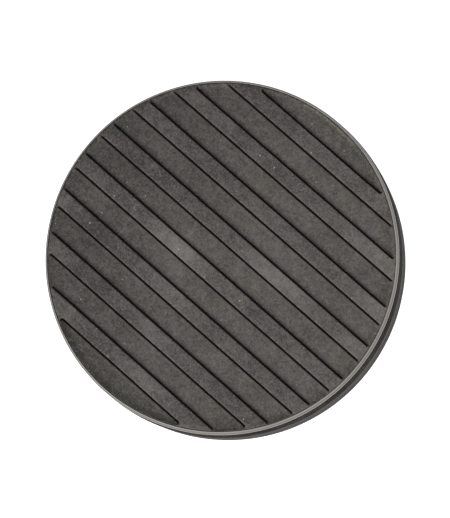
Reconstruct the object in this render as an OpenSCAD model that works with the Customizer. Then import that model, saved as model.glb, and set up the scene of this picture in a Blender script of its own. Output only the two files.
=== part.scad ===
// Round riser stomp pad for a snowboard, in millimetres.
// It lies adhesive side down on z = 0 with its tread facing +Z, centred on the Z axis.
// The ribs run along X. The release liner is split along Y into a left and a right half.

/* [Pad] */
// Overall height, from the release liner to the rib tops
pad_h = 28; // [24:0.5:36]
// Diameter of the recess that holds the tread
recess_d = 120; // [117:0.5:126]

/* [Tread] */
// Number of ribs, even, so that a channel crosses the centre
rib_count = 8; // [4:2:8]
// Distance from one rib to the next
rib_pitch = 14; // [12:0.5:15]
// Width of a rib
rib_w = 5.2; // [4:0.2:8]
// Height of the ribs above the channel floors
rib_h = 1.4; // [0.8:0.1:2]
// Rubber left under the channel floors
tread_floor_t = 0.8; // [0.6:0.1:2]
// Width of the rim that closes the ends of the channels
rim_w = 0.4; // [0.4:0.1:2]
// Corner radius of the channels in plan
corner_r = 0.8; // [0.5:0.1:1.5]
// Width of the grooves along the feet of the ribs
groove_w = 0.65; // [0.45:0.1:1.25]
// Depth of these grooves below the channel floors
groove_depth = 0.55; // [0.15:0.05:0.55]
// Gap between the tread and the carrier's lip
tread_gap = 0.3; // [0.1:0.05:0.5]

/* [Carrier plate] */
// Thickness of the plate under the tread
plate_t = 1.2; // [1:0.1:2]
// Thickness of the lip at its crown
lip_crown_t = 0.4; // [0.3:0.05:0.8]
// How far the lip flares out from its crown to its lower edge
lip_flare = 0.7; // [0.4:0.05:1]
// How far the crown stays below the rib tops
lip_drop = 0.1; // [0:0.05:0.4]
// How far the lip's lower edge hangs below the top of the plate
lip_foot_drop = 0.1; // [0:0.1:0.5]
// Radius of the lip's lower edge
lip_edge_r = 0.3; // [0.2:0.05:0.35]
// Depth of the shallow hollow round the lip's outer wall
lip_hollow = 0.08; // [0.04:0.01:0.12]

/* [Riser body] */
// Diameter of the shoulder under the neck
shoulder_d = 123.2; // [122:0.2:126]
// Depth of the widest point of the shoulder below the rib tops
shoulder_depth = 13; // [12:0.5:14]
// Radius of the shoulder's rounding
shoulder_r = 1.6; // [1:0.1:2.5]
// Radius of the hollow neck between lip and shoulder
neck_r = 5.5; // [5:0.1:6.5]
// How far the neck lies inside the widest point of the shoulder
neck_depth = 3.4; // [3:0.1:4]
// Diameter of the foot of the riser
foot_d = 123.2; // [121:0.2:125]
// Radius of the foot's lower edge
foot_r = 0.8; // [0.4:0.1:1.5]

/* [Adhesive and liner] */
// Thickness of the foam tape disc
tape_t = 1; // [0.5:0.1:2]
// Diameter of the foam tape disc and of the liner
tape_d = 120; // [100:0.5:121]
// Thickness of the release liner
liner_t = 0.2; // [0.1:0.05:0.3]
// Width of the slit between the two liner halves
slit_w = 0.4; // [0.2:0.1:1]
// Thickness of each bonding film
film_t = 0.2; // [0.1:0.05:0.3]
// How far a bonding film stays inside the edge of its seat
film_inset = 1.5; // [0.5:0.1:4]

/* [Hidden] */
$fn = 180;
eps = 0.01;
// How far a corner's circle reaches past the channel's edge and the rim, so that it cuts both cleanly
corner_bite = 0.02;

recess_r = recess_d / 2;
tread_r = recess_r - tread_gap;
pocket_r = tread_r - rim_w;
channel_w = rib_pitch - rib_w;
outer_rib_edge = (rib_count - 1) / 2 * rib_pitch + rib_w / 2;

tread_z = pad_h - rib_h - tread_floor_t;
plate_top_z = tread_z - film_t;
plate_z = plate_top_z - plate_t;
riser_top_z = plate_z - film_t;
riser_z = liner_t + tape_t;

lip_crown_r = recess_r + lip_crown_t;
lip_crown_z = pad_h - lip_drop - lip_crown_t / 2;
lip_foot_r = lip_crown_r + lip_flare;
lip_foot_z = plate_top_z - lip_foot_drop;

shoulder_c = [shoulder_d / 2 - shoulder_r, pad_h - shoulder_depth];
foot_c = [foot_d / 2 - foot_r, riser_z + foot_r];
// The neck's circle touches the shoulder's circle, so the wall runs smoothly from one to the other
neck_min_r = shoulder_d / 2 - neck_depth;
neck_c = [
    neck_min_r + neck_r,
    shoulder_c[1] + sqrt(pow(neck_r + shoulder_r, 2) - pow(neck_min_r + neck_r - shoulder_c[0], 2))
];
neck_touch = shoulder_c + (neck_c - shoulder_c) * shoulder_r / (neck_r + shoulder_r);
seat_r = neck_c[0] - sqrt(pow(neck_r, 2) - pow(riser_top_z - neck_c[1], 2));

function unit(v) = v / norm(v);

// Direction from either circle's centre to the line that touches both circles on their outer side
function tangent_dir(c1, r1, c2, r2) =
    let (d = c1 - c2, along = atan2(d[1], d[0]), lean = acos((r1 - r2) / norm(d)))
    [cos(along - lean), sin(along - lean)];
wall_dir = tangent_dir(shoulder_c, shoulder_r, foot_c, foot_r);

// The sharp tip between a channel's long edge and the rim, outside the corner's own circle at c.
// side_y is +1 or -1, the side of the channel that the edge lies on.
module corner_tip(c, side_y) {
    reach = 3 * corner_r;
    out = unit(c);
    edge = [0, side_y];
    difference() {
        polygon([c, c + out * reach, c + (out + edge) * reach, c + edge * reach]);
        translate(c) circle(r = corner_r);
    }
}

// Centre of the corner circle inside the rim and inside a channel edge at edge_y
function corner_centre(edge_y, side_y, side_x) =
    let (inset = corner_r - corner_bite, y = edge_y - side_y * inset)
    [side_x * sqrt(pow(pocket_r - inset, 2) - y * y), y];

// A channel between two ribs, from one side of the rim to the other
module channel_plan(mid_y) {
    difference() {
        intersection() {
            circle(r = pocket_r);
            translate([-recess_r, mid_y - channel_w / 2]) square([recess_d, channel_w]);
        }
        for (side_x = [-1, 1], side_y = [-1, 1])
            corner_tip(corner_centre(mid_y + side_y * channel_w / 2, side_y, side_x), side_y);
    }
}

// The recess between an outermost rib and the rim, on the +Y side
module outer_segment_plan() {
    difference() {
        intersection() {
            circle(r = pocket_r);
            translate([-recess_r, outer_rib_edge]) square([recess_d, recess_r]);
        }
        for (side_x = [-1, 1])
            corner_tip(corner_centre(outer_rib_edge, -1, side_x), -1);
    }
}

// The strip along a channel's long edge at edge_y that is cut deeper, within the channel's plan
module groove_plan(edge_y) {
    intersection() {
        children();
        translate([-recess_r, edge_y - groove_w]) square([recess_d, 2 * groove_w]);
    }
}

// The grooves along the feet of all the ribs
module all_grooves_plan() {
    for (i = [1 : rib_count - 1], side_y = [-1, 1]) {
        mid_y = (i - rib_count / 2) * rib_pitch;
        groove_plan(mid_y + side_y * channel_w / 2) channel_plan(mid_y);
    }
    for (flip = [0, 1]) mirror([0, flip]) groove_plan(outer_rib_edge) outer_segment_plan();
}

// Half section of the carrier plate's lip and edge, with r along X and height along Y
module carrier_section() {
    wall = [lip_flare, lip_foot_z - lip_crown_z];
    out = unit([-wall[1], wall[0]]);
    hollow_len = norm(wall) - 2 * lip_edge_r;
    hollow_r = (pow(hollow_len / 2, 2) + pow(lip_hollow, 2)) / (2 * lip_hollow);
    wall_mid = [lip_crown_r, lip_crown_z] + wall / 2;
    difference() {
        union() {
            polygon([
                [0, plate_z],
                [seat_r, plate_z],
                [lip_foot_r - lip_edge_r, lip_foot_z - lip_edge_r],
                [lip_foot_r, lip_foot_z],
                [lip_crown_r, lip_crown_z],
                [recess_r, lip_crown_z],
                [recess_r, plate_top_z],
                [0, plate_top_z]
            ]);
            translate([lip_foot_r - lip_edge_r, lip_foot_z]) circle(r = lip_edge_r);
            translate([recess_r + lip_crown_t / 2, lip_crown_z]) circle(r = lip_crown_t / 2);
        }
        translate(wall_mid + out * (hollow_r - lip_hollow)) circle(r = hollow_r);
    }
}

// Half section of the riser body
module riser_section() {
    difference() {
        union() {
            polygon([
                [0, riser_z],
                [foot_c[0], riser_z],
                foot_c,
                foot_c + wall_dir * foot_r,
                shoulder_c + wall_dir * shoulder_r,
                shoulder_c,
                neck_touch,
                neck_c,
                [neck_c[0], riser_top_z],
                [0, riser_top_z]
            ]);
            translate(foot_c) circle(r = foot_r);
            translate(shoulder_c) circle(r = shoulder_r);
        }
        translate(neck_c) circle(r = neck_r);
        translate(neck_c) square([neck_r, neck_r + eps]);
    }
}

// Ribbed rubber disc with closed channels
module tread() {
    color([0.35, 0.335, 0.325])
    difference() {
        translate([0, 0, tread_z]) cylinder(r = tread_r, h = rib_h + tread_floor_t);
        translate([0, 0, pad_h - rib_h]) linear_extrude(rib_h + 1) {
            for (i = [1 : rib_count - 1]) channel_plan((i - rib_count / 2) * rib_pitch);
            outer_segment_plan();
            mirror([0, 1]) outer_segment_plan();
        }
        translate([0, 0, pad_h - rib_h - groove_depth]) linear_extrude(groove_depth + rib_h / 2)
            all_grooves_plan();
    }
}

module film(r, z) {
    color([0.85, 0.84, 0.78, 0.6])
    translate([0, 0, z]) cylinder(r = r - film_inset, h = film_t);
}

// Film that bonds the tread into the carrier plate
module tread_bond_film() {
    film(tread_r, plate_top_z);
}

// Pale moulded plate whose lip surrounds the tread
module carrier_plate() {
    color([0.6, 0.59, 0.57])
    rotate_extrude() carrier_section();
}

// Film that bonds the carrier plate to the riser
module riser_bond_film() {
    film(seat_r, riser_top_z);
}

// Dark foam body that brings the tread up to the height of the bindings
module riser_body() {
    color([0.3, 0.29, 0.285])
    rotate_extrude() riser_section();
}

// Foam tape that sticks the pad to the board's top sheet
module adhesive_disc() {
    color([0.2, 0.2, 0.2])
    translate([0, 0, liner_t]) cylinder(d = tape_d, h = tape_t);
}

// One half of the release liner, on the side that side_x points to
module liner_half(side_x) {
    color([0.93, 0.91, 0.86])
    intersection() {
        cylinder(d = tape_d, h = liner_t);
        translate([side_x > 0 ? slit_w / 2 : -tape_d - slit_w / 2, -tape_d / 2, -eps])
            cube([tape_d, tape_d, liner_t + 2 * eps]);
    }
}

module liner_left() {
    liner_half(-1);
}

module liner_right() {
    liner_half(1);
}

tread();
tread_bond_film();
carrier_plate();
riser_bond_film();
riser_body();
adhesive_disc();
liner_left();
liner_right();
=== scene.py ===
"""Looks of a round riser stomp pad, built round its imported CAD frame.

Everything is in metres in the row frame: +Z is up, out of the tread, and the ribs run along X.
"""

import math
import random

import bpy
import numpy as np
from mathutils import Matrix, Vector, geometry, noise


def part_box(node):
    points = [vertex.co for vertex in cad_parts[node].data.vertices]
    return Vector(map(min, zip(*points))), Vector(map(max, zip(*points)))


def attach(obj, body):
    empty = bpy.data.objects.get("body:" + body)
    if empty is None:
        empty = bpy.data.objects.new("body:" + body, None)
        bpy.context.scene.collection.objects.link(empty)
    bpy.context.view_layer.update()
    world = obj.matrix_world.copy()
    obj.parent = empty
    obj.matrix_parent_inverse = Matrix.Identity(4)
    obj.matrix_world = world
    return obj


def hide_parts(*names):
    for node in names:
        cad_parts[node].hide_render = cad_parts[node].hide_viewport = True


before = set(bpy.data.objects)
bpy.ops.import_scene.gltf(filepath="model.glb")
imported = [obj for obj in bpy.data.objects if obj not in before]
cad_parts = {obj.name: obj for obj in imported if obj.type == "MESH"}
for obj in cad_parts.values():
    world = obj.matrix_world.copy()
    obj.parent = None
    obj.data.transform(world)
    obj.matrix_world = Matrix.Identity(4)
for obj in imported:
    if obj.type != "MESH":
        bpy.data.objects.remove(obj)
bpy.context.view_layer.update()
MM = 0.001

# ---------------------------------------------------------------- sizes, as in the CAD model
TREAD_LOW, TREAD_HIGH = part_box("tread")
TREAD_R = TREAD_HIGH.x
TOP_Z = TREAD_HIGH.z
RIB_COUNT = 8
RIB_PITCH = 14 * MM
RIB_W = 5.2 * MM
RIB_H = 1.4 * MM
CORNER_R = 0.8 * MM
CHANNEL_HALF = (RIB_PITCH - RIB_W) / 2
OUTER_RIB_EDGE = (RIB_COUNT - 1) / 2 * RIB_PITCH + RIB_W / 2

PLATE_LOW, PLATE_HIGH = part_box("carrier_plate")
RECESS_R = 60 * MM
FILM_T = 0.2 * MM
PLATE_TOP_Z = TREAD_LOW.z - FILM_T
LIP_EDGE_R = 0.3 * MM
LIP_FOOT_DROP = 0.1 * MM
LIP_FOOT_Z = PLATE_TOP_Z - LIP_FOOT_DROP

RISER_LOW, RISER_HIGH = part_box("riser_body")
SHOULDER_R = 1.6 * MM
SHOULDER_DEPTH = 13 * MM
SHOULDER_C = Vector((RISER_HIGH.x - SHOULDER_R, TOP_Z - SHOULDER_DEPTH))
FOOT_R = 0.8 * MM
FOOT_C = Vector((RISER_HIGH.x - FOOT_R, RISER_LOW.z + FOOT_R))
NECK_R = 5.5 * MM
NECK_MIN_R = 58.2 * MM

TAPE_LOW, TAPE_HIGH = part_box("adhesive_disc")
TAPE_R = TAPE_HIGH.x
SLIT_HALF = 0.2 * MM

# ---------------------------------------------------------------- sizes that differ from the CAD model
# By 0.3 mm or less, apart from the rise at the channels' ends.
RIM_W = 0.24 * MM
GROOVE_DEPTH = 0.7 * MM
EDGE_R = TREAD_R + 0.14 * MM
POCKET_R = EDGE_R - RIM_W
# The channel floors rise by END_RISE over the last END_RUN before the rim.
END_RISE = 1.0 * MM
END_RUN = 2.0 * MM
# The tread lies a little off the middle of its recess.
TREAD_OFFSET = Vector((0.03, 0.02)) * MM
LIP_INNER_R = RECESS_R + 0.1 * MM
LIP_CROWN_T = 0.22 * MM
LIP_FLARE = 0.75 * MM
# How the lip's outer wall flares: 1 is a straight cone, and more puts the flare near its lower edge.
LIP_SWEEP = 2.0

# ---------------------------------------------------------------- mesh steps
TURN_STEPS = 360
LIP_STEPS = 16
STEP_ALONG = 0.6 * MM
CORNER_STEPS = 8
TOP_SPACING = 1.3 * MM
LINER_SPACING = 2.5 * MM
# Free strip between an outline and the points scattered inside it
FLOOR_CLEAR = 0.35 * MM
TOP_CLEAR = 0.7 * MM
RIM_CLEAR = 0.6 * MM
LINER_CLEAR = 1 * MM
# Points nearer to each other than this count as one.
MERGE_WITHIN = 1e-7

# ---------------------------------------------------------------- colours
TREAD_RIB = (0.0480, 0.0420, 0.0394)
RIB_OLIVE = (0.0476, 0.0432, 0.0378)
TREAD_FLOOR = (0.0722, 0.0634, 0.0588)
FLOOR_OLIVE = (0.0692, 0.0644, 0.0536)
WORN_RUBBER = (0.100, 0.092, 0.089)
SCRATCH = (0.22, 0.21, 0.20)
DUST = (0.34, 0.325, 0.28)
# Painted shade: the near-black colour put in the foot grooves.
GROOVE_PAINTED_SHADE = (0.004, 0.0036, 0.0032)
# Painted shade: the dark colour put on the rib walls.
WALL_PAINTED_SHADE = (0.014, 0.0128, 0.0116)
LIP_PLASTIC = (0.182, 0.172, 0.156)
# Painted shade: the dark colour put in the hollow above the lip's bead.
LIP_HOLLOW_SHADE = (0.06, 0.056, 0.052)
RISER_FOAM = (0.048, 0.0440, 0.0400)
TAPE_FOAM = (0.030, 0.030, 0.031)
LINER = (0.60, 0.575, 0.50)
FILM, FILM_PALE, FILM_BUBBLE = (0.42, 0.40, 0.33), (0.50, 0.48, 0.41), (0.62, 0.60, 0.54)


# ---------------------------------------------------------------- mesh helpers
def make_object(name, points, faces, sharp_deg=40):
    """A smooth-shaded mesh object, with its edges over sharp_deg kept sharp."""
    mesh = bpy.data.meshes.new(name)
    mesh.from_pydata([tuple(p) for p in points], [], faces)
    mesh.update()
    mesh.shade_smooth()
    mesh.set_sharp_from_angle(angle=math.radians(sharp_deg))
    piece = bpy.data.objects.new(name, mesh)
    bpy.context.scene.collection.objects.link(piece)
    return piece


def waver(x, y, scale, seed):
    """Smooth noise from -1 to 1 that changes over about scale metres."""
    return noise.noise(Vector((x / scale, y / scale, seed * 17.3)))


def arc(centre, radius, start_deg, end_deg, steps):
    """Points on an arc, in the (r, z) half plane."""
    turns = np.radians(np.linspace(start_deg, end_deg, steps + 1))
    return [(centre[0] + radius * math.cos(a), centre[1] + radius * math.sin(a)) for a in turns]


def line(start, end, steps):
    """Points from start up to but not including end."""
    start, end = np.array(start), np.array(end)
    return [tuple(start + (end - start) * i / steps) for i in range(steps)]


def lathe(name, section, shift):
    """A solid of revolution. section runs from the axis below to the axis above, as (r, z) points.

    shift(angle, r, z) gives the small (dr, dz) by which the real wall differs from a perfect one.
    """
    steps = TURN_STEPS
    points, rows = [], []
    for r, z in section:
        if r <= 0:
            rows.append([len(points)])
            points.append((0, 0, z))
            continue
        rows.append(list(range(len(points), len(points) + steps)))
        for i in range(steps):
            a = 2 * math.pi * i / steps
            dr, dz = shift(a, r, z)
            points.append(((r + dr) * math.cos(a), (r + dr) * math.sin(a), z + dz))
    faces = []
    for low, high in zip(rows, rows[1:]):
        for i in range(steps):
            j = (i + 1) % steps
            if len(low) == 1:
                faces.append((low[0], high[j], high[i]))
            elif len(high) == 1:
                faces.append((low[i], low[j], high[0]))
            else:
                faces.append((low[i], low[j], high[j], high[i]))
    return make_object(name, points, faces)


# ---------------------------------------------------------------- tread
# Section through the edge of a recess, from the rib's top to the channel's floor. Each row is the
# distance into the recess and the height above the rib's top, in mm, and the share of the foot
# groove's depth.
EDGE_SECTION = [
    (-0.30, 0.0, 0),
    (-0.17, -0.012, 0),
    (-0.08, -0.055, 0),
    (-0.02, -0.14, 0),
    (0.0, -0.30, 0),
    (0.02, -0.80, 0),
    (0.04, -1.30, 0),
    (0.06, -1.40, 0.5),
    (0.10, -1.40, 0.96),
    (0.20, -1.40, 1.0),
    (0.42, -1.40, 1.0),
    (0.53, -1.40, 0.94),
    (0.60, -1.40, 0.5),
    (0.68, -1.40, 0.1),
    (0.85, -1.40, 0),
]
# Rows higher than this, in mm, follow the rib's top, and the others follow the channel's floor.
UPPER_ROWS = -1
# Section down the tread's outer edge: the distance out from EDGE_R and the height above the rib's
# top, in mm.
RIM_SECTION = [
    (-0.06, 0),
    (-0.03, -0.015),
    (-0.01, -0.05),
    (0, -0.15),
    (0, -1.2),
    (0, -2.05),
    (-0.15, -2.2),
]
# How much of the foot groove, the chips and the rounding there is along the rim, against 1 along a rib
END_SHARE = 0.1
# The part of the upper edge's rounding that is there whatever the share
RIM_ROUNDING = 0.05
LEAST_CORNER_R = 0.1 * MM
# The rubber droops by DROOP over the last DROOP_RUN before the rim.
DROOP = 0.15 * MM
DROOP_RUN = 3 * MM
TOP_WAVE = 0.03 * MM
FLOOR_WAVE = 0.04 * MM
EDGE_WANDER = 0.03 * MM
EDGE_JITTER = 0.012 * MM
# Chips in the upper edge of each recess: the most there are, their width in outline points, and
# their depth.
MOST_CHIPS = 3
CHIP_WIDTH = (0.8, 2.0)
CHIP_DEPTH = (0.05 * MM, 0.16 * MM)


def channel_spans():
    """The (lower edge, upper edge) of each recess across the ribs; None where the rim is the edge."""
    spans = [(None, -OUTER_RIB_EDGE)]
    for i in range(1, RIB_COUNT):
        middle = (i - RIB_COUNT / 2) * RIB_PITCH
        spans.append((middle - CHANNEL_HALF, middle + CHANNEL_HALF))
    spans.append((OUTER_RIB_EDGE, None))
    return spans


def recess_outline(low, high, inset):
    """The outline of one recess at an inset from its edges, anticlockwise.

    Each point is (x, y, way_x, way_y, share): way points out of the recess, and share is 1 along a
    rib and END_SHARE along the rim. The number of points doesn't depend on the inset.
    """
    corner_r = max(CORNER_R - inset, LEAST_CORNER_R)
    reach = POCKET_R - inset - corner_r
    corner, turn = {}, {}
    for edge, side in ((low, 1), (high, -1)):
        if edge is not None:
            y = edge + side * (inset + corner_r)
            corner[side] = (math.sqrt(reach * reach - y * y), y)
            turn[side] = math.atan2(y, corner[side][0])
    outline = []

    def arc_run(centre, radius, start, end, steps, share_start, share_end, ends):
        for i in range(0 if ends else 1, steps + 1 if ends else steps):
            t = i / steps
            way = (math.cos(start + (end - start) * t), math.sin(start + (end - start) * t))
            share = share_start + (share_end - share_start) * t
            outline.append((centre[0] + way[0] * radius, centre[1] + way[1] * radius, *way, share))

    def bend(side, side_x, start, end, share_start, share_end):
        centre = (side_x * corner[side][0], corner[side][1])
        arc_run(centre, corner_r, start, end, CORNER_STEPS, share_start, share_end, True)

    def rib_run(edge, side, direction):
        steps = round(2 * math.sqrt(POCKET_R**2 - edge**2) / STEP_ALONG)
        x = corner[side][0] * direction
        for i in range(1, steps):
            outline.append((-x + 2 * x * i / steps, edge + side * inset, 0, -side, 1))

    def rim_run(start, end):
        if low is None:
            nominal_high = math.asin(high / POCKET_R)
            nominal_low = -math.pi - nominal_high
        else:
            nominal_low = math.asin(low / POCKET_R)
            nominal_high = math.pi - nominal_low if high is None else math.asin(high / POCKET_R)
        steps = max(2, round((nominal_high - nominal_low) * POCKET_R / STEP_ALONG))
        arc_run((0, 0), POCKET_R - inset, start, end, steps, END_SHARE, END_SHARE, False)

    right, left = math.pi / 2, math.pi
    if low is not None:
        rib_run(low, 1, 1)
        bend(1, 1, -right, turn[1], 1, END_SHARE)
        rim_run(turn[1], turn[-1] if high is not None else left - turn[1])
    if high is not None:
        bend(-1, 1, turn[-1], right, END_SHARE, 1)
        rib_run(high, -1, -1)
        bend(-1, -1, right, left - turn[-1], 1, END_SHARE)
        rim_run(left - turn[-1], left - turn[1] if low is not None else 2 * left + turn[-1])
    if low is not None:
        bend(1, -1, left - turn[1], 3 * right, END_SHARE, 1)
    return outline


def scattered(radius, spacing, rng):
    """Jittered grid points in a disc."""
    count = int(radius / spacing) + 1
    jitter = 0.3
    points = []
    for i in range(-count, count + 1):
        for j in range(-count, count + 1):
            x = (i + rng.uniform(-jitter, jitter)) * spacing
            y = (j + rng.uniform(-jitter, jitter)) * spacing
            if math.hypot(x, y) < radius:
                points.append((x, y))
    return points


def in_recess(x, y, spans, margin):
    """Whether a point lies in one of the recesses, grown by margin."""
    if math.hypot(x, y) > POCKET_R + margin:
        return False
    for low, high in spans:
        if (low is None or y > low - margin) and (high is None or y < high + margin):
            return True
    return False


def fill(loops, extra):
    """Triangles over closed loops of points and extra points, as indexes into them all in that order."""
    flat, edges = [], []
    for loop in loops:
        start = len(flat)
        flat += [Vector(p[:2]) for p in loop]
        edges += [(start + i, start + (i + 1) % len(loop)) for i in range(len(loop))]
    flat += [Vector(p) for p in extra]
    _, _, faces, origin, _, _ = geometry.delaunay_2d_cdt(flat, edges, [], 0, MERGE_WITHIN)
    place = [o[0] if o else None for o in origin]
    assert None not in place, "two edges of a filled area cross"
    return [tuple(place[i] for i in f) for f in faces], flat


def inside(loop, places):
    """Which of the places lie inside a closed loop."""
    start = np.array([p[:2] for p in loop])
    end = np.roll(start, -1, axis=0)
    x, y = places[:, 0:1], places[:, 1:2]
    rise = np.where(end[:, 1] == start[:, 1], 1, end[:, 1] - start[:, 1])
    crosses = (start[:, 1] > y) != (end[:, 1] > y)
    at = start[:, 0] + (y - start[:, 1]) * (end[:, 0] - start[:, 0]) / rise
    return (crosses & (at > x)).sum(axis=1) % 2 == 1


def middles(triangles, flat):
    """The centres of triangles, as an array."""
    places = np.array([tuple(p) for p in flat])
    return places[np.array(triangles)].mean(axis=1)


def tread_mesh():
    """The ribbed rubber disc: channels with rounded corners, soft rib edges, grooves at their feet."""
    rng = random.Random(11)
    points, faces, top_rows = [], [], []
    spans = channel_spans()

    def add(x, y, z):
        points.append((x, y, z))
        return len(points) - 1

    def droop(x, y):
        return DROOP * max(0, (math.hypot(x, y) - (POCKET_R - DROOP_RUN)) / DROOP_RUN) ** 2

    def top_level(x, y):
        return TOP_Z - TOP_WAVE + TOP_WAVE * waver(x, y, 9 * MM, 1) - droop(x, y)

    def floor_level(x, y):
        rise = END_RISE * max(0, (math.hypot(x, y) - POCKET_R + END_RUN) / END_RUN) ** 2
        return TOP_Z - RIB_H + rise + FLOOR_WAVE * waver(x, y, 7 * MM, 2) - droop(x, y)

    def edge_rows(low, high):
        """The rows of points down one recess's edge, with small chips in its upper edge."""
        first = recess_outline(low, high, 0)
        chips = []
        for _ in range(rng.randint(0, MOST_CHIPS)):
            place = rng.randrange(len(first))
            width = rng.uniform(*CHIP_WIDTH)
            chips.append((place, width, rng.uniform(*CHIP_DEPTH)))
        rows = []
        for inset, height, groove in EDGE_SECTION:
            row = []
            outside = max(-inset, 0) * MM
            outline = recess_outline(low, high, max(inset, 0) * MM)
            for k, (x, y, way_x, way_y, share) in enumerate(outline):
                out = outside * (RIM_ROUNDING + (1 - RIM_ROUNDING) * share)
                if height > UPPER_ROWS:
                    for place, width, chip in chips:
                        out += chip * math.exp(-(((k - place) / width) ** 2)) * share
                wander = EDGE_WANDER * waver(x, y, 6 * MM, 3) + EDGE_JITTER * waver(x, y, 1.4 * MM, 4)
                x, y = x + way_x * out + wander / 2, y + way_y * out + wander
                if height > UPPER_ROWS:
                    z = max(top_level(x, y) + height * MM, floor_level(x, y))
                else:
                    z = floor_level(x, y) + RIB_H + height * MM - share * groove * GROOVE_DEPTH
                row.append(add(x, y, z))
            rows.append(row)
        return rows

    def bridge(outer, inner):
        for k in range(len(outer)):
            faces.append((outer[k - 1], outer[k], inner[k], inner[k - 1]))

    def fill_level(rows, level, keep, wanted):
        """Fills the wanted triangles between the rows, at a gently wavy level."""
        extra = [p for p in scattered(TREAD_R, TOP_SPACING, rng) if keep(*p)]
        loops = [[points[i] for i in row] for row in rows]
        triangles, flat = fill(loops, extra)
        names = [i for row in rows for i in row] + [add(x, y, level(x, y)) for x, y in extra]
        for triangle, good in zip(triangles, wanted(loops, middles(triangles, flat))):
            if good:
                faces.append(tuple(names[i] for i in triangle))

    for low, high in spans:
        rows = edge_rows(low, high)
        for outer, inner in zip(rows, rows[1:]):
            bridge(outer, inner)
        top_rows.append(rows[0])
        margin = EDGE_SECTION[-1][0] * MM + FLOOR_CLEAR
        span_low = -POCKET_R if low is None else low + margin
        span_high = POCKET_R if high is None else high - margin

        def on_floor(x, y):
            return span_low < y < span_high and math.hypot(x, y) < POCKET_R - margin

        fill_level([rows[-1]], floor_level, on_floor, lambda loops, at: inside(loops[0], at))

    rings = []
    for out, height in RIM_SECTION:
        ring = []
        for i in range(2 * TURN_STEPS):
            a = math.pi * i / TURN_STEPS
            r = EDGE_R + out * MM
            x, y = r * math.cos(a) + TREAD_OFFSET.x, r * math.sin(a) + TREAD_OFFSET.y
            level = top_level(x, y) if height > UPPER_ROWS else TOP_Z
            ring.append(add(x, y, level + height * MM))
        rings.append(ring)
    for upper, lower in zip(rings, rings[1:]):
        bridge(lower, upper)
    centre = add(0, 0, TREAD_LOW.z)
    for k in range(len(rings[-1])):
        faces.append((rings[-1][k], rings[-1][k - 1], centre))

    def on_top(x, y):
        return not in_recess(x, y, spans, TOP_CLEAR) and math.hypot(x, y) < EDGE_R - RIM_CLEAR

    def outside_recesses(loops, at):
        return ~np.any([inside(loop, at) for loop in loops[1:]], axis=0)

    fill_level([rings[0]] + top_rows, top_level, on_top, outside_recesses)
    return make_object("tread_rubber", points, faces, sharp_deg=75)


# ---------------------------------------------------------------- carrier plate, riser, tape, liner
PLATE_SEAT_INSET = 1.9 * MM
LIP_WAVE = 0.03 * MM
FOAM_WAVE = 0.05 * MM
FOAM_PEBBLE = 0.018 * MM
TAPE_BEVEL = 0.05 * MM
TAPE_RAGGED = 0.06 * MM
LINER_INSET = 0.05 * MM
LINER_RIPPLE = 0.03 * MM


def carrier_mesh():
    """The pale plate, its lip with a rounded crown and a wall that flares to a bead at its foot."""
    crown = (LIP_INNER_R + LIP_CROWN_T / 2, PLATE_HIGH.z - LIP_CROWN_T / 2)
    top = (LIP_INNER_R + LIP_CROWN_T, crown[1])
    edge = (top[0] + LIP_FLARE - LIP_EDGE_R, LIP_FOOT_Z)
    seat_r = PLATE_HIGH.x - PLATE_SEAT_INSET
    bead = arc(edge, LIP_EDGE_R, -90, 50, 8)
    wall = []
    for i in range(1, LIP_STEPS):
        t = 1 - i / LIP_STEPS
        r = top[0] + (bead[-1][0] - top[0]) * t**LIP_SWEEP
        wall.append((r, top[1] + (bead[-1][1] - top[1]) * t))
    section = [(0, PLATE_LOW.z)]
    section += line((20 * MM, PLATE_LOW.z), (seat_r, PLATE_LOW.z), 8)
    section += [(seat_r, PLATE_LOW.z)]
    section += bead + wall
    section += arc(crown, LIP_CROWN_T / 2, 0, 180, 10)
    section += line((LIP_INNER_R, crown[1] - 0.3 * MM), (LIP_INNER_R, PLATE_TOP_Z), 4)
    section += [(LIP_INNER_R, PLATE_TOP_Z), (55 * MM, PLATE_TOP_Z), (0, PLATE_TOP_Z)]

    def shift(a, r, z):
        if r < RECESS_R - 2 * MM:
            return 0, 0
        x, y = math.cos(a) * 20 * MM, math.sin(a) * 20 * MM
        dr = LIP_WAVE * waver(x, y, 9 * MM, 31) - LIP_WAVE
        return dr, LIP_WAVE * waver(x, y, 7 * MM, 32) - LIP_WAVE

    return lathe("carrier_plastic", section, shift)


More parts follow.
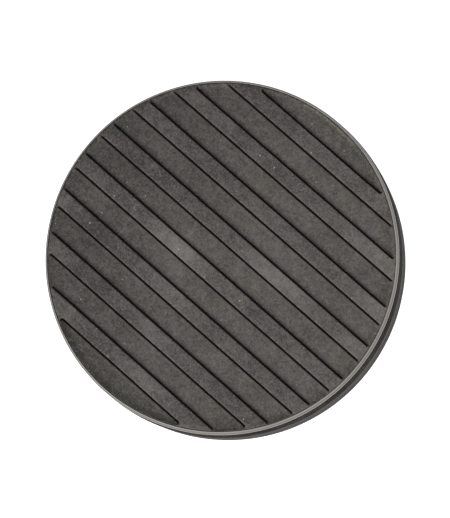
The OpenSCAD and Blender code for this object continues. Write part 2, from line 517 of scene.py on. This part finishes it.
def riser_mesh():
    """The foam body: foot, upright wall, rounded shoulder and hollow neck."""
    along = SHOULDER_C - FOOT_C
    lean = math.degrees(math.acos((SHOULDER_R - FOOT_R) / along.length))
    wall_deg = math.degrees(math.atan2(along.y, along.x)) - lean
    neck_x = NECK_MIN_R + NECK_R
    neck_rise = math.sqrt((NECK_R + SHOULDER_R) ** 2 - (neck_x - SHOULDER_C.x) ** 2)
    neck_c = Vector((neck_x, SHOULDER_C.y + neck_rise))
    touch = neck_c - SHOULDER_C
    touch_deg = math.degrees(math.atan2(touch.y, touch.x))
    top_deg = 180 - math.degrees(math.asin((RISER_HIGH.z - neck_c.y) / NECK_R))
    foot_arc = arc(FOOT_C, FOOT_R, -90, wall_deg, 8)
    shoulder_arc = arc(SHOULDER_C, SHOULDER_R, wall_deg, touch_deg, 14)
    neck_arc = arc(neck_c, NECK_R, touch_deg + 180, top_deg, 24)
    section = [(0, RISER_LOW.z), (40 * MM, RISER_LOW.z)]
    section += foot_arc
    section += line(foot_arc[-1], shoulder_arc[0], 28)[1:]
    section += shoulder_arc
    section += neck_arc[1:]
    section += [(neck_arc[-1][0] - 1.5 * MM, RISER_HIGH.z), (0, RISER_HIGH.z)]

    def shift(a, r, z):
        if r < NECK_MIN_R - 1 * MM:
            return 0, 0
        x, y = math.cos(a) * 30 * MM, math.sin(a) * 30 * MM
        slow = noise.noise(Vector((x / (8 * MM), y / (8 * MM), z / (9 * MM))))
        fast = noise.noise(Vector((x / (1.5 * MM), y / (1.5 * MM), z / (2.5 * MM))))
        return FOAM_WAVE * slow + FOAM_PEBBLE * fast, 0

    return lathe("riser_foam", section, shift)


def tape_mesh():
    """The foam tape disc, with a knife-cut edge that is a little uneven."""
    low, high = TAPE_LOW.z, TAPE_HIGH.z
    section = [(0, low), (TAPE_R - 2 * MM, low), (TAPE_R - TAPE_BEVEL, low)]
    section += line((TAPE_R, low + TAPE_BEVEL), (TAPE_R, high - TAPE_BEVEL), 5)
    section += [(TAPE_R, high - TAPE_BEVEL), (TAPE_R - TAPE_BEVEL, high), (0, high)]

    def shift(a, r, z):
        if r < TAPE_R - 1 * MM:
            return 0, 0
        ragged = noise.noise(Vector((math.cos(a) * 90, math.sin(a) * 90, z / (0.4 * MM))))
        return TAPE_RAGGED * ragged - TAPE_RAGGED / 2, 0

    return lathe("tape_foam", section, shift)


def liner_mesh(name, side):
    """One half of the release liner: a thin film that lies almost flat."""
    rng = random.Random(40 + side)
    node_low, node_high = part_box("liner_left" if side < 0 else "liner_right")
    thickness = node_high.z - node_low.z
    radius = TAPE_R - LINER_INSET
    half_turn = math.acos(SLIT_HALF / radius)
    turns = np.linspace(-half_turn, half_turn, TURN_STEPS // 2 + 1)
    outline = [(radius * math.cos(t), radius * math.sin(t)) for t in turns]
    top_y = outline[-1][1]
    outline += [(SLIT_HALF, y) for y in np.linspace(top_y, -top_y, TURN_STEPS // 4 + 1)[1:-1]]
    inner = scattered(radius - LINER_CLEAR, LINER_SPACING, rng)
    inner = [p for p in inner if p[0] > SLIT_HALF + LINER_CLEAR]
    triangles, flat = fill([outline], inner)
    count = len(flat)
    points = []
    for level in (0, 1):
        for x, y in flat:
            ripple = 0.5 + 0.5 * waver(side * x, y, 16 * MM, 51 + side)
            above = LINER_RIPPLE * ripple if level == 0 else thickness * (0.85 + 0.1 * ripple)
            points.append((side * x, y, node_low.z + above))
    faces = []
    for a, b, c in triangles:
        upper = (a + count, b + count, c + count)
        faces.append(upper if side > 0 else upper[::-1])
        faces.append((c, b, a) if side > 0 else (a, b, c))
    for k in range(len(outline)):
        a, b = (k - 1) % len(outline), k
        wall = (a, b, b + count, a + count)
        faces.append(wall if side > 0 else wall[::-1])
    return make_object(name, points, faces)


# ---------------------------------------------------------------- material helpers
class Finish:
    """A procedural material: short names for the nodes that the finishes below use."""

    def __init__(self, name, roughness, specular):
        self.material = bpy.data.materials.new(name)
        self.material.use_nodes = True
        self.tree = self.material.node_tree
        self.shader = self.tree.nodes["Principled BSDF"]
        self.set("Roughness", roughness)
        self.set("Specular IOR Level", specular)
        place = self.tree.nodes.new("ShaderNodeTexCoord")
        self.place = place.outputs["Object"]
        split = self.node("ShaderNodeSeparateXYZ", {"Vector": self.place})
        self.x, self.y, self.z = split.outputs

    def node(self, kind, inputs, **settings):
        made = self.tree.nodes.new(kind)
        for key, value in settings.items():
            setattr(made, key, value)
        for key, value in inputs.items():
            self.put(made.inputs[key], value)
        return made

    def put(self, socket, value):
        if isinstance(value, bpy.types.NodeSocket):
            self.tree.links.new(value, socket)
        else:
            socket.default_value = value

    def set(self, key, value):
        if key == "Base Color" and not isinstance(value, bpy.types.NodeSocket):
            value = (*value, 1)
        self.put(self.shader.inputs[key], value)

    def stretched(self, scale, turn_deg=0):
        """The object's coordinates, turned about Z and then scaled, to lengthen a pattern."""
        made = self.node(
            "ShaderNodeMapping",
            {"Vector": self.place, "Scale": scale, "Rotation": (0, 0, math.radians(turn_deg))},
        )
        return made.outputs["Vector"]

    def moved(self, by):
        """The object's coordinates moved by the (x, y, z) of by, so that patterns don't coincide."""
        made = self.node("ShaderNodeVectorMath", {0: self.place, 1: by}, operation="ADD")
        return made.outputs["Vector"]

    def noise(self, size, detail, roughness, vector=None, offset=0.0):
        """Noise from 0 to 1, whose features are about size metres across."""
        if vector is None:
            vector = self.moved((offset, offset, offset)) if offset else self.place
        made = self.node(
            "ShaderNodeTexNoise",
            {"Vector": vector, "Scale": 1 / size, "Detail": detail, "Roughness": roughness},
        )
        return made.outputs["Fac"]

    def span(self, value, low, high, out_low=0.0, out_high=1.0):
        """value from low..high mapped onto out_low..out_high, and held there outside."""
        made = self.node(
            "ShaderNodeMapRange",
            {"Value": value, "From Min": low, "From Max": high, "To Min": out_low, "To Max": out_high},
        )
        return made.outputs["Result"]

    def vary(self, pattern, out_low, out_high):
        """A noise pattern, which lies mostly from 0.3 to 0.7, spread over out_low..out_high."""
        return self.span(pattern, 0.3, 0.7, out_low, out_high)

    def math(self, operation, a, b=0.0):
        made = self.node("ShaderNodeMath", {0: a, 1: b}, operation=operation)
        return made.outputs["Value"]

    def times(self, *values):
        result = values[0]
        for value in values[1:]:
            result = self.math("MULTIPLY", result, value)
        return result

    def plus(self, *values):
        result = values[0]
        for value in values[1:]:
            result = self.math("ADD", result, value)
        return result

    def blend(self, share, a, b):
        """Colour a where share is 0, and colour b where it is 1."""
        made = self.tree.nodes.new("ShaderNodeMix")
        made.data_type = "RGBA"
        colours = [s for s in made.inputs if s.type == "RGBA"]
        self.put(made.inputs[0], share)
        for socket, value in zip(colours, (a, b)):
            self.put(socket, value if isinstance(value, bpy.types.NodeSocket) else (*value, 1))
        return next(s for s in made.outputs if s.type == "RGBA")

    def shade(self, colour, value):
        """colour made lighter or darker by the factor value."""
        made = self.node("ShaderNodeVectorMath", {0: colour}, operation="SCALE")
        self.put(made.inputs["Scale"], value)
        return made.outputs["Vector"]

    def specks(self, spacing, radius, share, seed=0.0):
        """Scattered dots, 1 inside and 0 outside: share of the cells, each spacing wide, hold one."""
        vector = self.moved((seed, seed, 0)) if seed else self.place
        made = self.node(
            "ShaderNodeTexVoronoi", {"Vector": vector, "Scale": 1 / spacing}, voronoi_dimensions="2D"
        )
        pick = self.node("ShaderNodeSeparateColor", {"Color": made.outputs["Color"]})
        chosen = self.math("LESS_THAN", pick.outputs[0], share)
        size = self.span(pick.outputs[1], 0, 1, radius / spacing * 0.35, radius / spacing)
        edge = self.math("SUBTRACT", size, made.outputs["Distance"])
        dot = self.span(edge, 0, radius / spacing * 0.3)
        return self.math("MULTIPLY", dot, chosen)

    def bump(self, height, depth):
        """Relief of depth metres where height goes from 0 to 1."""
        made = self.node("ShaderNodeBump", {"Height": height, "Distance": depth, "Strength": 1.0})
        return made.outputs["Normal"]


# ---------------------------------------------------------------- finishes
# Patches that boots have polished, or left grimy where the strength is below 0: centre, half length
# and half width in mm, and strength.
WORN_PATCHES = [
    (-12, -7.5, 13, 5.5, 0.80),
    (-5, -19, 12, 6.5, 0.32),
    (21, 7.5, 15, 4.5, 0.60),
    (40, 35, 11, 4.5, 0.42),
    (50, 21, 9, 4, 0.42),
    (54, 7, 6, 4, 0.25),
    (9, -49.5, 14, 4.5, 0.36),
    (0, -35, 7, 4.5, 0.30),
    (-54, -21.5, 5, 4, 0.30),
    (-38, 35, 13, 4, 0.20),
    (-46, 18, 12, 7, 0.22),
    (-27, -49, 5, 4, 0.20),
    (-33, -25, 10, 9, -0.28),
    (-26, -35, 10, 5, -0.25),
    (22, -7, 12, 5.5, -0.16),
    (8, 34, 18, 5, -0.12),
]
# Long shallow scratches: centre of the arc, its radius, and the middle and half of its angle.
SCRATCHES = [
    ((2, -22), 31, 62, 9),
    ((60, 70), 46, 222, 8),
    ((-30, 10), 44, -48, 7),
    ((30, -60), 52, 128, 6),
    ((-70, -20), 38, 12, 10),
]


# Painted light and shade: the tread's brightness changing over the face, per metre and per square
# metre. TWIST goes with x times y, and is for the channel floors and for the ribs.
SLOPE_X, SLOPE_Y = 3.2, 1.6
FALL_X, FALL_Y = -65.0, -55.0
TWIST = (15, 75)
DARKEST = 0.3


def worn_share(f, on_rib, patches, mottle):
    """How strongly each place is worn: the patches, with cloudy edges, and weaker on the floors."""
    wear_and_highlight = 0.0
    warp = f.vary(patches, -0.45, 0.45)
    for x, y, long, wide, strength in WORN_PATCHES:
        dx = f.math("MULTIPLY", f.math("SUBTRACT", f.x, x * MM), 1 / (long * MM))
        dy = f.math("MULTIPLY", f.math("SUBTRACT", f.y, y * MM), 1 / (wide * MM))
        far = f.math("SQRT", f.plus(f.times(dx, dx), f.times(dy, dy)))
        wear_and_highlight = f.plus(f.times(f.span(f.plus(far, warp), 1.25, 0.15), strength), wear_and_highlight)
    return f.times(wear_and_highlight, f.span(on_rib, 0, 1, 0.45, 1.0), f.vary(mottle, 0.7, 1.3))


def scratch_share(f, patches, grain):
    """Where the scratches are: arcs with faded ends, whose radius drifts by up to 1 mm."""
    scratch = 0.0
    for (x, y), arc_r, middle, half in SCRATCHES:
        dx = f.math("SUBTRACT", f.x, x * MM)
        dy = f.math("SUBTRACT", f.y, y * MM)
        ring = f.math("SQRT", f.plus(f.times(dx, dx), f.times(dy, dy)))
        drift = f.span(patches, 0, 1, arc_r * MM, (arc_r + 1) * MM)
        off = f.math("ABSOLUTE", f.math("SUBTRACT", ring, drift))
        cos_m, sin_m = math.cos(math.radians(middle)), math.sin(math.radians(middle))
        along = f.plus(f.math("MULTIPLY", dx, cos_m), f.math("MULTIPLY", dy, sin_m))
        cos_half = math.cos(math.radians(half))
        within = f.span(f.math("DIVIDE", along, ring), cos_half, cos_half + 0.004)
        scratch = f.plus(f.times(f.span(off, 0.22 * MM, 0.05 * MM), within), scratch)
    return f.times(scratch, f.span(grain, 0.35, 0.6), 0.30)


def dust_share(f, on_rib, in_groove, near_rim):
    """Where the dust is: specks of three sizes, the finest only near the rim, none in the grooves."""
    dust = f.plus(
        f.specks(7 * MM, 0.28 * MM, 0.25),
        f.times(f.specks(2.2 * MM, 0.17 * MM, 0.28, 0.37), f.span(near_rim, 0, 1, 0.6, 1.0)),
        f.times(f.specks(1.1 * MM, 0.16 * MM, 0.45, 0.71), near_rim, f.span(on_rib, 0, 1, 1.0, 0.35)),
    )
    return f.times(f.math("MINIMUM", dust, 1.0), f.span(in_groove, 0, 1, 1, 0))


def tread_finish():
    """Dark moulded rubber: smooth rib tops, rougher floors, worn cloudy patches, dust, scratches;
    painted light and shade.
    """
    f = Finish("tread_rubber_finish", roughness=0.6, specular=0.35)
    on_rib = f.span(f.z, TOP_Z - 0.5 * MM, TOP_Z - 0.25 * MM)
    floor_z = TOP_Z - RIB_H
    in_groove = f.span(f.z, floor_z - 0.06 * MM, floor_z - 0.3 * MM)
    # Distance towards +Y from a rib's -Y edge: below 0 in the channel beside it, above 0 on the rib
    wrapped = {0: f.math("ADD", f.y, RIB_W / 2), 1: RIB_PITCH, 2: 0.0}
    from_edge = f.node("ShaderNodeMath", wrapped, operation="WRAP").outputs["Value"]
    from_edge = f.math("ADD", from_edge, -RIB_PITCH / 2)
    across = f.node("ShaderNodeCombineXYZ", {"X": f.x, "Y": f.y, "Z": 0.0}).outputs[0]
    radius = f.node("ShaderNodeVectorMath", {0: across}, operation="LENGTH").outputs["Value"]
    near_rim = f.span(radius, POCKET_R - 7 * MM, POCKET_R)
    # Painted shade: where the rib walls are darkened, away from the rim.
    shaded_wall = f.times(
        f.span(f.z, TOP_Z - 0.12 * MM, TOP_Z - 0.5 * MM),
        f.span(f.z, floor_z - 0.1 * MM, floor_z + 0.2 * MM),
        f.span(radius, POCKET_R - 0.5 * MM, POCKET_R - END_RUN),
    )

    def by_level(floor, rib):
        return f.span(on_rib, 0, 1, floor, rib)

    clouds = f.noise(30 * MM, 2, 0.5)
    patches = f.noise(9 * MM, 3, 0.6, offset=3.1)
    mottle = f.noise(2.6 * MM, 3, 0.6, offset=7.7)
    grain = f.noise(1.0 * MM, 3, 0.7, offset=1.3)
    fine = f.noise(0.42 * MM, 2, 0.7, offset=2.3)
    wear_and_highlight = worn_share(f, on_rib, patches, mottle)
    scratch = scratch_share(f, patches, grain)
    dust = dust_share(f, on_rib, in_groove, near_rim)
    # Painted light: paler bands along those edges, on the floor just past the foot groove, and weaker on
    # the rib
    lit_bands = f.plus(
        f.times(f.span(from_edge, -0.7 * MM, -1.0 * MM), f.span(from_edge, -2.2 * MM, -1.2 * MM)),
        f.times(f.span(from_edge, -0.1 * MM, 0.1 * MM), f.span(from_edge, 0.9 * MM, 0.3 * MM), 0.4),
    )
    tint = f.noise(14 * MM, 2, 0.5, offset=9.0)
    olive = f.plus(f.times(near_rim, 0.5), f.span(tint, 0.35, 0.65, 0, 0.6))
    floor_colour = f.blend(olive, TREAD_FLOOR, FLOOR_OLIVE)
    colour = f.blend(on_rib, floor_colour, f.blend(olive, TREAD_RIB, RIB_OLIVE))
    level = f.plus(
        f.vary(clouds, -0.09, 0.09),
        f.times(f.vary(patches, -0.13, 0.13), by_level(1.0, 1.4)),
        f.times(f.vary(mottle, -0.24, 0.24), by_level(1.0, 1.2)),
        f.times(f.vary(grain, -0.34, 0.34), by_level(1.0, 1.4)),
        f.times(f.vary(fine, -0.50, 0.50), by_level(1.0, 1.3)),
        # Painted light and shade: near the rim the channel floors are darker and the ribs a little
        # lighter.
        f.times(near_rim, by_level(-0.14, 0.06)),
        # Painted light and shade: the slow change of brightness over the face.
        f.times(f.x, SLOPE_X),
        f.times(f.y, SLOPE_Y),
        f.times(f.x, f.x, FALL_X),
        f.times(f.y, f.y, FALL_Y),
        f.times(f.x, f.y, by_level(*TWIST)),
        f.times(wear_and_highlight, 1.25),
        # Painted light along the ribs' -Y edges
        f.times(lit_bands, f.vary(patches, 0.25, 0.6)),
        1.0,
    )
    colour = f.shade(colour, f.math("MAXIMUM", level, DARKEST))
    colour = f.blend(f.times(wear_and_highlight, 0.4), colour, WORN_RUBBER)
    colour = f.blend(scratch, colour, SCRATCH)
    colour = f.blend(f.times(dust, 0.7), colour, DUST)
    # Painted shade: the foot grooves made almost black.
    colour = f.blend(f.times(in_groove, 0.97), colour, GROOVE_PAINTED_SHADE)
    # Painted shade: the rib walls darkened.
    colour = f.blend(f.times(shaded_wall, 0.75), colour, WALL_PAINTED_SHADE)
    f.set("Base Color", colour)
    f.set("Roughness", f.plus(by_level(0.78, 0.6), f.vary(mottle, -0.08, 0.08)))
    relief = f.plus(
        f.times(f.noise(0.55 * MM, 3, 0.65, offset=5.0), by_level(1.0, 0.45)),
        f.times(mottle, 0.8),
        f.times(dust, 0.4),
        f.times(scratch, -1.0),
    )
    f.set("Normal", f.bump(relief, 0.08 * MM))
    return f.material


def carrier_finish():
    """Pale warm grey plastic with fine scuffs, painted shade in the hollow above its bead, and a painted
    highlight on the bead.
    """
    f = Finish("carrier_plastic_finish", roughness=0.45, specular=0.5)
    patches = f.noise(6 * MM, 4, 0.6)
    fine = f.noise(0.6 * MM, 3, 0.6, offset=2.0)
    # Painted shade: the hollow above the bead is darkened.
    above_bead = f.times(
        f.span(f.z, LIP_FOOT_Z + 0.7 * LIP_EDGE_R, LIP_FOOT_Z + 1.3 * LIP_EDGE_R),
        f.span(f.z, LIP_FOOT_Z + 4 * LIP_EDGE_R, LIP_FOOT_Z + 2 * LIP_EDGE_R),
    )
    # Painted highlight: the bead at the wall's foot is made paler.
    bead = f.span(f.z, LIP_FOOT_Z + 1.1 * LIP_EDGE_R, LIP_FOOT_Z + 0.7 * LIP_EDGE_R)
    hollow_shade = f.times(above_bead, f.vary(patches, 0.7, 1.0))
    level = f.plus(f.vary(patches, -0.09, 0.09), f.vary(fine, -0.10, 0.10), f.times(bead, 0.5), 1.0)
    colour = f.shade(LIP_PLASTIC, level)
    colour = f.blend(f.times(hollow_shade, 0.85), colour, LIP_HOLLOW_SHADE)
    f.set("Base Color", colour)
    f.set("Roughness", f.plus(f.vary(fine, 0.38, 0.52), f.times(hollow_shade, 0.2)))
    f.set("Normal", f.bump(f.plus(fine, patches), 0.012 * MM))
    return f.material


def riser_finish():
    """Dark moulded foam with a faintly pebbled skin, a painted highlight on its shoulder and painted
    shade above it.
    """
    f = Finish("riser_foam_finish", roughness=0.6, specular=0.18)
    clouds = f.noise(14 * MM, 3, 0.5)
    pebble = f.noise(0.7 * MM, 3, 0.6, offset=4.0)
    streaks = f.noise(1.0, 3, 0.6, vector=f.stretched((120, 120, 900)))
    crest = SHOULDER_C.y
    # Painted highlight: a paler band at and just below the shoulder's crest.
    wear_and_highlight = f.times(
        f.span(f.z, crest - 2.2 * MM, crest - 1.2 * MM),
        f.span(f.z, crest + 0.7 * MM, crest + 0.1 * MM),
    )
    level = f.plus(
        f.vary(clouds, -0.12, 0.12),
        f.vary(pebble, -0.28, 0.28),
        f.vary(streaks, -0.17, 0.17),
        f.times(wear_and_highlight, f.vary(clouds, 0.45, 0.85)),
        # Painted shade: darker above the shoulder's crest, in the neck under the lip.
        f.span(f.z, crest + 0.3 * MM, crest + 0.9 * MM, 0, -0.42),
        0.8,
    )
    f.set("Base Color", f.shade(RISER_FOAM, level))
    f.set("Roughness", f.vary(pebble, 0.55, 0.75))
    f.set("Normal", f.bump(f.plus(pebble, f.times(streaks, 0.4)), 0.06 * MM))
    return f.material


def tape_finish():
    """Dark acrylic foam tape: a fine open-cell look on its cut edge."""
    f = Finish("tape_foam_finish", roughness=0.8, specular=0.3)
    cells = f.noise(0.25 * MM, 3, 0.7)
    cloud = f.noise(8 * MM, 2, 0.5, offset=2.0)
    level = f.plus(f.vary(cells, -0.25, 0.25), f.vary(cloud, -0.1, 0.1), 1.0)
    f.set("Base Color", f.shade(TAPE_FOAM, level))
    f.set("Normal", f.bump(cells, 0.05 * MM))
    return f.material


def liner_finish():
    """Off-white release film: faint mottling of the silicone coat, soft creases and a satin gloss."""
    f = Finish("liner_film_finish", roughness=0.38, specular=0.5)
    coat = f.noise(5 * MM, 4, 0.6)
    fibre = f.noise(1.0, 3, 0.6, vector=f.stretched((1400, 260, 400), 12))
    crease = f.noise(1.0, 2, 0.5, vector=f.stretched((35, 8, 20), 35))
    level = f.plus(f.vary(coat, -0.05, 0.05), f.vary(fibre, -0.03, 0.03), 1.0)
    f.set("Base Color", f.shade(LINER, level))
    f.set("Roughness", f.vary(coat, 0.32, 0.46))
    f.set("Normal", f.bump(f.plus(f.times(crease, 2.0), f.times(fibre, 0.15)), 0.08 * MM))
    return f.material


def film_finish():
    """Clear tacky bonding film with small trapped bubbles."""
    f = Finish("bond_film_finish", roughness=0.25, specular=0.5)
    cloud = f.noise(7 * MM, 3, 0.5)
    bubbles = f.specks(3 * MM, 0.4 * MM, 0.4)
    colour = f.blend(f.vary(cloud, 0.0, 1.0), FILM, FILM_PALE)
    f.set("Base Color", f.blend(f.times(bubbles, 0.5), colour, FILM_BUBBLE))
    f.set("Roughness", f.vary(cloud, 0.2, 0.35))
    f.set("Normal", f.bump(bubbles, 0.03 * MM))
    return f.material


# ---------------------------------------------------------------- camera, floor and light
TILT_DEG = 9.2
RIB_FALL_DEG = 41.3
DISTANCE = 1.10
# The recess's width as a share of the longer side of the image
FACE_SHARE = 0.6783
AIM_RIGHT = 1.59 * MM
AIM_UP = -1.0 * MM
FLOOR_HALF = 2.5
FLOOR_COLOUR = (0.5, 0.5, 0.5)
FLOOR_GLOW = 0.9
FLOOR_CLEAR_WITHIN = 1 * MM
WORLD_STRENGTH = 0.7


def make_camera():
    """Looks down on the tread, a little from +X; the ribs fall from upper left to lower right."""
    tilt, fall = math.radians(TILT_DEG), math.radians(RIB_FALL_DEG)
    back = Vector((math.sin(tilt), 0, math.cos(tilt)))
    along = Vector((math.cos(tilt), 0, -math.sin(tilt)))
    across = Vector((0, 1, 0))
    right = math.cos(fall) * along + math.sin(fall) * across
    up = -math.sin(fall) * along + math.cos(fall) * across
    target = Vector((0, 0, TOP_Z)) + right * AIM_RIGHT + up * AIM_UP
    data = bpy.data.cameras.new("camera")
    data.sensor_width = 36
    data.lens = data.sensor_width * FACE_SHARE * DISTANCE / (2 * RECESS_R)
    camera = bpy.data.objects.new("camera", data)
    turn = Matrix((right, up, back)).transposed().to_4x4()
    camera.matrix_world = Matrix.Translation(target + back * DISTANCE) @ turn
    bpy.context.scene.collection.objects.link(camera)
    bpy.context.scene.camera = camera


def make_floor():
    """A plain white floor. What the camera sees of it glows, so shadows stay pale.

    It shows from above only, and lets light through to what lies on it, so the underside is lit.
    """
    mesh = bpy.data.meshes.new("floor")
    corners = [(x * FLOOR_HALF, y * FLOOR_HALF, 0) for x, y in ((-1, -1), (1, -1), (1, 1), (-1, 1))]
    mesh.from_pydata(corners, [], [(0, 1, 2, 3)])
    floor = bpy.data.objects.new("floor", mesh)
    bpy.context.scene.collection.objects.link(floor)
    material = bpy.data.materials.new("floor_finish")
    material.use_nodes = True
    tree = material.node_tree
    shader = tree.nodes["Principled BSDF"]
    shader.inputs["Base Color"].default_value = (*FLOOR_COLOUR, 1)
    shader.inputs["Roughness"].default_value = 0.9
    shader.inputs["Emission Color"].default_value = (1, 1, 1, 1)
    seen = tree.nodes.new("ShaderNodeLightPath").outputs
    behind = tree.nodes.new("ShaderNodeNewGeometry").outputs["Backfacing"]

    def maths(operation, a, b):
        made = tree.nodes.new("ShaderNodeMath")
        made.operation = operation
        tree.links.new(a, made.inputs[0])
        if isinstance(b, bpy.types.NodeSocket):
            tree.links.new(b, made.inputs[1])
        else:
            made.inputs[1].default_value = b
        return made.outputs[0]

    glow = maths("MULTIPLY", seen["Is Camera Ray"], FLOOR_GLOW)
    tree.links.new(glow, shader.inputs["Emission Strength"])
    close = maths("LESS_THAN", seen["Ray Length"], FLOOR_CLEAR_WITHIN)
    see_through = maths("MAXIMUM", behind, close)
    clear = tree.nodes.new("ShaderNodeBsdfTransparent")
    mix = tree.nodes.new("ShaderNodeMixShader")
    tree.links.new(see_through, mix.inputs[0])
    tree.links.new(shader.outputs[0], mix.inputs[1])
    tree.links.new(clear.outputs[0], mix.inputs[2])
    tree.links.new(mix.outputs[0], tree.nodes["Material Output"].inputs["Surface"])
    mesh.materials.append(material)


def area_light(name, place, size, power):
    """A square light of power watts, aimed at the origin."""
    data = bpy.data.lights.new(name, "AREA")
    data.shape = "RECTANGLE"
    data.size, data.size_y = size, size
    data.energy = power
    light = bpy.data.objects.new(name, data)
    light.location = place
    light.rotation_mode = "QUATERNION"
    light.rotation_quaternion = (-Vector(place)).to_track_quat("-Z", "Y")
    light.visible_camera = False
    bpy.context.scene.collection.objects.link(light)


def make_light():
    """Soft light from all round, a key from -Y, across the ribs, and a weaker one from +X and +Y."""
    world = bpy.data.worlds.new("world")
    world.use_nodes = True
    sky = world.node_tree.nodes["Background"].inputs
    sky["Color"].default_value = (1, 1, 1, 1)
    sky["Strength"].default_value = WORLD_STRENGTH
    bpy.context.scene.world = world
    area_light("key", (0.1, -1.2, 1.0), size=0.7, power=26)
    area_light("side", (0.95, 0.95, 0.45), size=0.6, power=12)
    bpy.context.scene.view_settings.view_transform = "Standard"


# ---------------------------------------------------------------- the pad
def dress(piece, body, node, material):
    """Puts a piece in a CAD node's place, on its body, with its finish, and returns it."""
    piece.data.materials.append(material)
    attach(piece, body)
    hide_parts(node)
    return piece


make_camera()
make_floor()
make_light()

dress(tread_mesh(), "pad", "tread", tread_finish())
dress(carrier_mesh(), "pad", "carrier_plate", carrier_finish())
riser = dress(riser_mesh(), "pad", "riser_body", riser_finish())
tape = dress(tape_mesh(), "pad", "adhesive_disc", tape_finish())
liner_material = liner_finish()
dress(liner_mesh("liner_film_left", -1), "left_half", "liner_left", liner_material)
dress(liner_mesh("liner_film_right", 1), "right_half", "liner_right", liner_material)

film_material = film_finish()
for film in ("tread_bond_film", "riser_bond_film"):
    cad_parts[film].data.materials.clear()
    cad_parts[film].data.materials.append(film_material)
